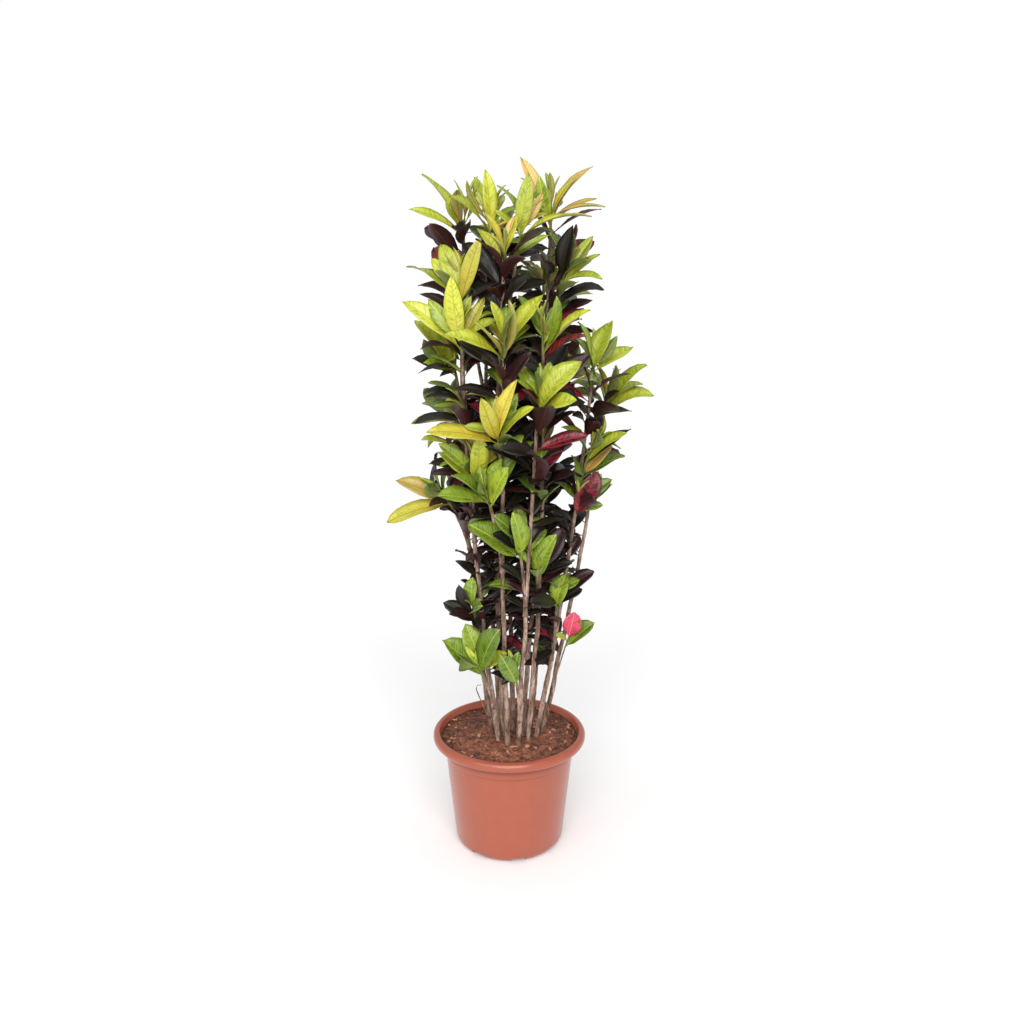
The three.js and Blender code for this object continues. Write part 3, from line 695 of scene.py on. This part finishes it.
def half_width(share, half, bulge, taper):
    """Half the width at a share of the length: an even stalk, then a blade that swells and closes again."""
    if share <= STALK_SHARE:
        return STALK_HALF_WIDTH
    u = (share - STALK_SHARE) / (1 - STALK_SHARE)
    return max(STALK_HALF_WIDTH * (1 - u), half * max(0.0, math.sin(math.pi * u ** bulge)) ** taper)


def spine(root, tip, facing, arch):
    """The arc of a midrib as a function that gives a place and its upward way, then its side and reach."""
    chord = tip - root
    reach = chord.length
    chord.normalize()
    normal = (facing - chord * facing.dot(chord)).normalized()
    radius = reach / (2 * math.sin(arch / 2))

    def at(share):
        angle = arch * (share - 0.5)
        rib = root + chord * (reach / 2 + radius * math.sin(angle))
        rib += normal * radius * (math.cos(angle) - math.cos(arch / 2))
        return rib, normal * math.cos(angle) + chord * math.sin(angle)

    return at, chord.cross(normal), reach


def room_of(root, tip, facing, arch, width):
    """The cells of space that a blade passes through."""
    at, side, reach = spine(root, tip, facing, arch)
    cells = set()
    for share in (0.3, 0.42, 0.54, 0.66, 0.78, 0.9, 1):
        rib = at(share)[0]
        reach_aside = 0.6 * reach * width / 2 * math.sin(math.pi * min(0.9, share))
        for aside in (-reach_aside, 0, reach_aside):
            cells.add(tuple(round(c / CELL) for c in rib + side * aside))
    return cells


def grow_blade(bm, layers, root, tip, facing, arch, fold, kind, seed, width, taper, bulge=1.0):
    """Adds one leaf to a mesh and claims the space that it takes."""
    at, side, reach = spine(root, tip, facing, arch)
    taken.update(room_of(root, tip, facing, arch, width))
    twist = TWIST * (draw(seed + 71) - 0.5)
    phase = math.tau * draw(seed + 72)
    half = reach * width / 2
    rows = len(BLADE_ROWS) - 1
    grid = bmesh.ops.create_grid(bm, x_segments=rows, y_segments=BLADE_COLUMNS, size=1)["verts"]
    places = {}
    for v in grid:
        share = BLADE_ROWS[round((v.co.x + 1) / 2 * rows)]
        across = -v.co.y
        rib, lift = at(share)
        wide = half_width(share, half, bulge, taper)
        on_blade = min(1, max(0, (share - 0.1) / 0.12))
        fold_here = mix(STALK_FOLD, fold * (1.15 - 0.3 * share), on_blade)
        turn = twist * share
        sideways = side * math.cos(turn) + lift * math.sin(turn)
        upwards = lift * math.cos(turn) - side * math.sin(turn)
        ripple = RIPPLE * half * on_blade * math.sin(9 * share + phase + across) * across * across
        cup = -CUP * wide * on_blade * (abs(across) - across * across)
        rise = abs(across) * wide * math.sin(fold_here) + ripple + cup
        v.co = (rib + sideways * across * wide * math.cos(fold_here) + upwards * rise) * MM
        places[v] = (share, across, reach * share, across * wide)
    offset = 300 * draw(seed + 73)
    blade, share_map, own = layers
    for face in {f for v in grid for f in v.link_faces}:
        face.material_index = KINDS.index(kind)
        for loop in face.loops:
            share, across, along_mm, across_mm = places[loop.vert]
            loop[blade].uv = (along_mm + offset, across_mm)
            loop[share_map].uv = (share, (across + 1) / 2)
            loop.vert[own] = draw(seed + 74)


print("faces in one leaf:", (len(BLADE_ROWS) - 1) * BLADE_COLUMNS)

# %% [markdown]
# ## Leaves on their CAD places
# In the CAD, a leaf that would have touched another piece was turned, lifted or shortened step by step until
# it was clear. We work out the same steps here, and look each possible tip up among the vertices of the
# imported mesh: the one that is there is the posture that the leaf took. A leaf with no tip there was shed.

# %% Leaf plans and postures
OLD_LEAVES, YOUNG_REACH, OLD_REACH, LONGEST = 12, 140, 145, 195
GOLDEN_ANGLE = math.radians(137.508)
POSTURES, TURN_STEP, LIFTS = 28, math.radians(6.5), (0, 9, -9, 18, -18)
TIP_TOLERANCE = 0.0003


def frame_along(along):
    """Two directions at right angles to a stem and to each other."""
    east = Vector((0, 1, 0)).cross(along).normalized()
    return east, along.cross(east)


def leaf_plans(limb, start, end, is_old):
    """The root, direction, reach and shape of each leaf of a shoot, in the order of the CAD."""
    seed = limb["heart"][0] * 3 + limb["heart"][2] * 7 + (5000 if is_old else 0)
    count = OLD_LEAVES if is_old else limb["leaves"]
    aims = [] if is_old else limb["aims"]
    reach = OLD_REACH if is_old else SHORT_LEAVED.get(limb["name"], YOUNG_REACH)
    for i in range(count):
        age = 1 - i / max(1, count - 1)
        t = mix(start, end, 0.1 + 0.85 * (1 - age))
        along = way_along(limb["line"], t)
        east, north = frame_along(along)
        base = point_on(limb["line"], t)
        tilt, luck, spare = [draw(seed + i * 17 + k) for k in (4, 1, 2)]
        outward = Vector((base.x, base.y, 0)).normalized()
        plan = dict(base=base, along=along, age=age, seed=seed + i * 17, kind=None,
                    facing=along * 0.75 + outward * 0.55 + east * 0.5 * (tilt - 0.5),
                    arch=0.4 + 0.7 * draw(seed + i * 17 + 3), fold=0.16 + 0.22 * draw(seed + i * 17 + 5))
        if i < len(aims):
            chord = Vector(aims[i][0]) - base
            plan["reach"] = min(chord.length, LONGEST)
            plan["chord"] = chord.normalized()
            plan["facing"] = Vector((0.7 * (tilt - 0.5), -0.5, 0.35)) + along * 0.6
            plan["kind"] = aims[i][1]
        else:
            azimuth = i * GOLDEN_ANGLE + 6.28 * draw(seed)
            rise = math.radians(12 + 36 * luck if is_old else 66 - 54 * age + 16 * (luck - 0.5))
            plan["chord"] = (east * math.cos(azimuth) + north * math.sin(azimuth)) * math.cos(rise)
            plan["chord"] += along * math.sin(rise)
            plan["reach"] = reach * (0.85 + 0.3 * spare if is_old else 0.68 + 0.27 * age + 0.2 * spare)
        yield plan


def tip_at(plan, attempt):
    """Where the tip lies in one of the postures that the CAD tries."""
    turn = (1 if attempt % 2 else -1) * math.ceil(attempt / 2) * TURN_STEP
    lift = math.radians(LIFTS[attempt % 5] * (1.3 if attempt > 4 else 0.5))
    chord = Matrix.Rotation(turn, 3, plan["along"]) @ plan["chord"]
    chord = Matrix.Rotation(lift, 3, chord.cross(plan["along"]).normalized()) @ chord
    return plan["base"] + chord * plan["reach"] * (1 - 0.014 * attempt)


def packed_tips(node):
    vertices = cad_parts[node].data.vertices
    tree = kdtree.KDTree(len(vertices))
    for i, v in enumerate(vertices):
        tree.insert(v.co, i)
    tree.balance()
    return tree


# %% [markdown]
# ## Which leaf has which colour
# Age decides: the leaves nearest the heart are the youngest. High leaves get more light and stay lime for
# longer. The aimed leaves keep the colour that they have in the photograph.

# %% Choose a colour by age and height
LIT_HEIGHT = 1150


def colour_of(plan, is_old, height):
    if plan["kind"]:
        return plan["kind"]
    luck = draw(plan["seed"] + 40)
    if is_old:
        return "crimson" if luck < 0.11 else "burgundy" if luck < 0.4 else "dark" if luck < 0.85 else "green"
    if height > LIT_HEIGHT:
        if plan["age"] > 0.75 and luck < 0.4:
            return "burgundy" if luck < 0.22 else "dark"
        return "fresh" if luck < 0.4 else "tan" if luck < 0.5 else "yellow" if luck < 0.62 else "lime"
    if plan["age"] > 0.3 and luck < 0.6:
        return "burgundy" if luck < 0.24 else "dark"
    return "green" if luck < 0.8 else "fresh"


# %% [markdown]
# ## Leaves of every shoot
# The leaves of a shoot share one mesh, with two UV maps and a number for each leaf, `own`, that shifts its
# tint. The thickness is a modifier, because a blade is far easier to bend as a single sheet.

# %% Start and finish a piece of foliage
def new_foliage():
    bm = bmesh.new()
    uv_maps = [bm.loops.layers.uv.new(name) for name in ("blade", "share")]
    return bm, (*uv_maps, bm.verts.layers.float.new("own"))


def finish_foliage(name, bm, replaced=()):
    piece = new_piece(name, bm, LEAF_FINISHES, replaced)
    body = piece.modifiers.new("thickness", "SOLIDIFY")
    body.thickness = BLADE_THICKNESS * MM
    body.offset = -1
    body.material_offset = len(KINDS)
    body.material_offset_rim = 0
    return piece


# %% The newest leaves
# they stand nearly upright in the heart, and hearts on the far side have looser ones too
NEWEST, MORE_IN_CROWN, LOOSE = 3, 2, 6
NEWEST_REACH = (55, 100)
CROWN_HEIGHT, FAR_SIDE = 1700, 90
NEWEST_KINDS_HIGH = ("lime", "lime", "fresh", "yellow", "tan")
NEWEST_KINDS_LOW = ("fresh", "lime", "green")


def grow_newest(bm, layers, limb):
    """Adds the newest leaves of a shoot, slim and still folded."""
    heart, along = Vector(limb["heart"]), way_along(limb["line"], 1)
    east, north = frame_along(along)
    is_lit = heart.z > LIT_HEIGHT
    kinds = NEWEST_KINDS_HIGH if is_lit else NEWEST_KINDS_LOW
    upright = NEWEST + (MORE_IN_CROWN if heart.z > CROWN_HEIGHT else 0)
    for i in range(upright + (LOOSE if heart.y > FAR_SIDE else 0)):
        is_upright = i < upright
        seed = limb["heart"][0] * 11 + limb["heart"][2] + i * 13
        azimuth = i * GOLDEN_ANGLE + math.tau * draw(seed)
        rise = math.radians(mix(*((52, 80) if is_upright else (18, 50)), draw(seed + 1)))
        outward = east * math.cos(azimuth) + north * math.sin(azimuth)
        chord = outward * math.cos(rise) + along * math.sin(rise)
        reach = mix(*NEWEST_REACH, draw(seed + 2)) * (1 if is_lit else 0.8) * (1 if is_upright else 1.15)
        grow_blade(bm, layers, root=heart, tip=heart + chord * reach,
                   facing=along * 0.3 - outward if is_upright else along, arch=mix(0.3, 0.6, draw(seed + 3)),
                   fold=mix(0.4, 0.75, draw(seed + 4)), kind=kinds[int(draw(seed + 5) * len(kinds))],
                   seed=seed, width=mix(0.22, 0.3, draw(seed + 6)) + (0 if is_upright else 0.08), taper=0.8)


# %% Grow the leaves of every shoot
BROAD_HEARTED = 800
grown = shed = 0
for limb in limbs:
    sections = [("shoot_", limb["tip_from"], 1, False)]
    if limb["old"]:
        sections.append(("old_shoot_", limb["old_from"], limb["tip_from"] - JOINT_GAP / limb["length"], True))
    for prefix, start, end, is_old in sections:
        node = prefix + limb["name"]
        tips = packed_tips(node)
        bm, layers = new_foliage()
        for plan in leaf_plans(limb, start, end, is_old):
            postures = (tip_at(plan, attempt) for attempt in range(POSTURES))
            tip = next((t for t in postures if tips.find(t * MM)[2] < TIP_TOLERANCE), None)
            if tip is None:
                shed += 1
                continue
            root = plan["base"] + (plan["base"] - tip).normalized() * 0.5 * TIP_RADIUS
            height = limb["heart"][2]
            kind = colour_of(plan, is_old, height)
            grown_at = min(height, OLD_SHAPE_HEIGHT) if kind in OLD_KINDS else height
            width, taper = shape_at(grown_at, draw(plan["seed"] + 8))
            grow_blade(bm, layers, root, tip, plan["facing"], plan["arch"], 1.4 * plan["fold"], kind,
                       plan["seed"], width * GIRTH.get(kind, 1), taper,
                       1.25 if height < BROAD_HEARTED else 1.0)
            grown += 1
        if not is_old and limb["name"] not in SLENDER:
            grow_newest(bm, layers, limb)
        finish_foliage("leaves_" + node, bm, [node])
print("leaves on their CAD places:", grown, "shed:", shed)

# %% [markdown]
# ## Inner leaves
# The heart of the bundle is full of old dark leaves that the CAD leaves out. They sit singly along the wood,
# so we grow them from points spaced along each limb, turned by the golden angle. The outermost still get
# light, so they are greener. The plant is open in places, and a list of spots in the photograph keeps those
# free.

# %% Where the photograph shows open places, in its own pixels
PHOTO_SIZE = 1024
PIXELS_PER_SLOPE = CAMERA_LENS / SENSOR_WIDTH * PHOTO_SIZE
OPEN_MARGIN = 4
#            x, y, radius
OPEN_SPOTS = [(486, 271, 15), (516, 265, 7), (464, 240, 6), (460, 383, 9), (481, 378, 9), (564, 357, 9),
              (564, 446, 13), (575, 430, 8), (564, 504, 6), (472, 545, 8), (579, 619, 13), (567, 644, 7),
              (557, 662, 8)]
to_camera = camera.matrix_basis.inverted()


def in_photo(place):
    """The pixel of the photograph in which a place lies."""
    seen = to_camera @ (place * MM)
    right, up = seen.x / -seen.z, seen.y / -seen.z
    return PHOTO_SIZE / 2 + PIXELS_PER_SLOPE * right, PHOTO_SIZE / 2 - PIXELS_PER_SLOPE * up


def in_an_opening(base, tip):
    spots = [in_photo(base.lerp(tip, share)) for share in (0.3, 0.55, 0.8, 1)]
    return any(math.hypot(x - u, y - v) < radius + OPEN_MARGIN
               for u, v in spots for x, y, radius in OPEN_SPOTS)


print("spots kept open:", len(OPEN_SPOTS))

# %% Grow the inner leaves
INNER_STEP, INNER_SHARE, INNER_TRIES = 9, 0.9, 4
LOWEST_IN_FRONT, LOWEST_BEHIND, FRONT = 730, 540, -100
TOP_MARGIN, WIDEST = 12, 0.42
# how far out a tip may reach at each height, and without limit to speak of above
LOW_SPREAD, FREE_SPREAD = ((500, 110), (700, 140), (900, 178), (1150, 250)), 400
# each colour with the share of the leaves up to and including it
LOW_COLOURS = [("crimson", 0.015), ("burgundy", 0.3), ("dark", 0.94), ("green", 1)]
HIGH_COLOURS = [("crimson", 0.07), ("burgundy", 0.36), ("dark", 0.86), ("green", 0.92), ("fresh", 0.96),
                ("lime", 1)]
OUTER_COLOURS = [("burgundy", 0.22), ("dark", 0.52), ("green", 0.64), ("fresh", 0.8), ("lime", 0.96),
                 ("tan", 1)]
LOW_HEIGHT, OUTER_SPREAD = 1100, 190


def spread_allowed(z):
    for (low, narrow), (high, broad) in zip(LOW_SPREAD, LOW_SPREAD[1:]):
        if z < high:
            return mix(narrow, broad, max(0, (z - low) / (high - low)))
    return FREE_SPREAD


def inner_leaf(base, seed, turn, attempt):
    """Plans one inner leaf, or returns nothing where the plant is open or already full."""
    azimuth = turn + 1.2 * draw(seed + 1) + 2.0 * attempt
    rise = math.radians(mix(-25, 50, draw(seed + 2 + attempt)))
    chord = Vector((math.cos(azimuth) * math.cos(rise), math.sin(azimuth) * math.cos(rise), math.sin(rise)))
    reach = mix(90, 155, draw(seed + 3)) * (1 if base.z > 900 else 0.75) * (1 - 0.1 * attempt)
    tip = base + chord * reach
    spread = (tip - BUNDLE_CENTRE).xy.length
    palette = LOW_COLOURS if base.z < LOW_HEIGHT else OUTER_COLOURS if spread > OUTER_SPREAD else HIGH_COLOURS
    width, taper = shape_at(min(base.z, OLD_SHAPE_HEIGHT), draw(seed + 7))
    leaf = dict(root=base, tip=tip, facing=Vector((chord.x * 0.5, chord.y * 0.5 - 0.25, 0.9)),
                arch=mix(0.4, 1.3, draw(seed + 5)), width=min(width, WIDEST))
    if spread > spread_allowed(tip.z) or in_an_opening(base, tip) or room_of(**leaf) & taken:
        return None
    leaf.update(fold=mix(0.15, 0.5, draw(seed + 6)), seed=seed, taper=taper,
                kind=next(k for k, share in palette if draw(seed + 4) < share))
    return leaf


inner = 0
for number in range(1, len(CUTTINGS) + 1):
    bm, layers = new_foliage()
    for limb in limbs:
        if limb["number"] != number or limb["name"] in SLENDER:
            continue
        end = limb["old_from"] * limb["length"] - TOP_MARGIN
        lowest = LOWEST_IN_FRONT if limb["heart"][1] < FRONT else LOWEST_BEHIND
        for i in range(int(end / INNER_STEP)):
            base = point_on(limb["line"], (i + 1) * INNER_STEP / limb["length"])
            seed = limb["heart"][0] * 5 + limb["heart"][2] * 3 + i * 31
            if base.z < lowest or draw(seed) > INNER_SHARE:
                continue
            tries = (inner_leaf(base, seed, i * GOLDEN_ANGLE, attempt) for attempt in range(INNER_TRIES))
            leaf = next(filter(None, tries), None)
            if leaf:
                grow_blade(bm, layers, **leaf)
                inner += 1
    if len(bm.verts):
        finish_foliage(f"inner_leaves_{number:02d}", bm)
    else:
        bm.free()
print("inner leaves:", inner)

# %% [markdown]
# ## Potting soil
# The mix is shredded bark and peat: a rough, damp, red-brown surface that fills the pot to just under its
# rim. Its body is plain, a fan of triangles from an uneven edge at the wall to one vertex in the middle,
# with sides that follow the wall down to the floor. The finish and the loose chips give the surface its
# relief, at a fraction of the faces.

# %% Soil body
SOIL_SIDES, WALL_GAP, SOIL_LIFT = 96, 0.8, 5
MOUND_HEIGHT, MOUND_CENTRE, MOUND_SPREAD = 5, (20, -10), 9000


def inner_radius(z):
    """The radius of the pot's inner wall at a height."""
    if z > SHOULDER_HEIGHT:
        rim = (z - SHOULDER_HEIGHT) / (POT_HEIGHT - WALL - SHOULDER_HEIGHT)
        return mix(SHOULDER_RADIUS - WALL, RIM_INNER, rim)
    return mix(BASE_RADIUS, SHOULDER_RADIUS, (z - FLOOR_CORNER) / (SHOULDER_HEIGHT - FLOOR_CORNER)) - WALL


def soil_height(x, y):
    """The height of the mix: rough, a little mounded in the middle and drawn up at the wall."""
    rough = 3.0 * noise.noise(Vector((x, y, 0)) * 0.045) + 2.2 * noise.noise(Vector((x, y, 7)) * 0.14)
    from_centre = (x - MOUND_CENTRE[0]) ** 2 + (y - MOUND_CENTRE[1]) ** 2
    mound = MOUND_HEIGHT * math.exp(-from_centre / MOUND_SPREAD)
    against_wall = 5 * (math.hypot(x, y) / 200) ** 6
    return SOIL_TOP + SOIL_LIFT + rough + mound + against_wall


soil = bmesh.new()
edge_radius = inner_radius(SOIL_TOP - SOIL_LIFT) - WALL_GAP
bmesh.ops.create_circle(soil, cap_ends=True, segments=SOIL_SIDES, radius=edge_radius * MM)
rim_edges = list(soil.edges)
bmesh.ops.poke(soil, faces=list(soil.faces))
for v in soil.verts:
    v.co.z = soil_height(v.co.x / MM, v.co.y / MM) * MM
for v in {v for e in rim_edges for v in e.verts}:
    v.co.xy = v.co.xy.normalized() * (inner_radius(v.co.z / MM) - WALL_GAP) * MM
for z, narrower in ((SHOULDER_HEIGHT, 0), (FLOOR_CORNER, 0), (FLOOR + 1, WALL)):
    side = bmesh.ops.extrude_edge_only(soil, edges=rim_edges)["geom"]
    rim_edges = [e for e in side if isinstance(e, bmesh.types.BMEdge) and all(v in side for v in e.verts)]
    for v in (v for v in side if isinstance(v, bmesh.types.BMVert)):
        radius = inner_radius(max(z, FLOOR_CORNER)) - WALL_GAP - narrower
        v.co.xy = v.co.xy.normalized() * radius * MM
        v.co.z = z * MM
bmesh.ops.contextual_create(soil, geom=rim_edges)
bmesh.ops.recalc_face_normals(soil, faces=soil.faces)

print("soil faces:", len(soil.faces))

# %% [markdown]
# ### Damp bark mix
# Clumps of about 2 cm go from wet to dry, and crumbs of about 6 mm break them up. A Voronoi pattern gives
# each crumb a colour of its own, of which we use only the brightness.

# %% Soil finish
potting_mix, tree, shader = new_finish("damp_bark_potting_mix")
place = add_node(tree, "TexCoord").outputs["Object"]
crumbs = add_node(tree, "TexVoronoi", [("Vector", place), ("Scale", 160)])
clumps = add_noise(tree, place, 45, 5, 0.7)
tone = add_ramp(tree, clumps, [(0.35, linear("#47281c")), (0.68, linear("#a5674a"))])
crumb_tone = add_node(tree, "RGBToBW", [("Color", crumbs.outputs["Color"])])
relief = calculate(tree, "ADD", crumbs.outputs["Distance"], clumps)
bump = add_bump(tree, relief, 0.8, 0.003)
feed(shader, [("Base Color", blend(tree, 0.6, tone, crumb_tone, "SOFT_LIGHT")), ("Normal", bump),
              ("Roughness", 0.92)])
new_piece("potting_soil", soil, [potting_mix], ["soil"])

# %% [markdown]
# ## Bark chips
# Pale dry chips and dark crumbs lie loose on the mix, and some have sunk in. Each is a small stone of twenty
# faces, squashed, turned and dented at random. The cube of a random number makes the big ones rare.

# %% Bark chips
def chip_finish(name, dark, pale):
    finish, tree, shader = new_finish(name)
    place = add_node(tree, "TexCoord").outputs["Object"]
    cloud = add_noise(tree, place, 90, 4)
    bump = add_bump(tree, cloud, 0.5, 0.001)
    feed(shader, [("Base Color", blend(tree, cloud, linear(dark), linear(pale))), ("Normal", bump),
                  ("Roughness", 0.85)])
    return finish


CHIPS, CHIP_SIZES, PALE_SHARE, WET_SHARE = 1900, (1.8, 7.0), 0.12, 0.58
chip_finishes = [chip_finish("wet_bark_chip", "#5a3425", "#935a41"),
                 chip_finish("dry_bark_chip", "#a66c50", "#cd9877"),
                 chip_finish("peat_crumb", "#38211a", "#663e2b")]
chips = bmesh.new()
for i in range(CHIPS):
    radius = (edge_radius - 4) * math.sqrt(draw(i * 3.1))
    turn = math.tau * draw(i * 5.7 + 1)
    x, y = radius * math.cos(turn), radius * math.sin(turn)
    size = mix(*CHIP_SIZES, draw(i * 7.3 + 2) ** 3)
    shape = Matrix.Translation(Vector((x, y, soil_height(x, y) + 0.35 * size)) * MM)
    shape @= Matrix.Rotation(math.tau * draw(i + 3.3), 4, "Z")
    shape @= Matrix.Rotation(0.9 * (draw(i + 4.4) - 0.5), 4, "X")
    long, wide = mix(1.1, 2.4, draw(i + 5.5)), mix(0.6, 1.1, draw(i + 6.6))
    thick = mix(0.35, 0.7, draw(i + 7.7))
    shape @= Matrix.Diagonal((long, wide, thick, 1))
    new = bmesh.ops.create_icosphere(chips, subdivisions=1, radius=size * MM, matrix=shape)["verts"]
    for v in new:
        v.co += noise.noise_vector(v.co * 400 + Vector((i, 0, 0))) * size * 0.3 * MM
    luck = draw(i * 2.9 + 8)
    for face in {f for v in new for f in v.link_faces}:
        face.material_index = 1 if luck < PALE_SHARE else 0 if luck < PALE_SHARE + WET_SHARE else 2
piece = new_piece("bark_chips", chips, chip_finishes)
piece.data.shade_flat()
print("bark chips:", CHIPS)
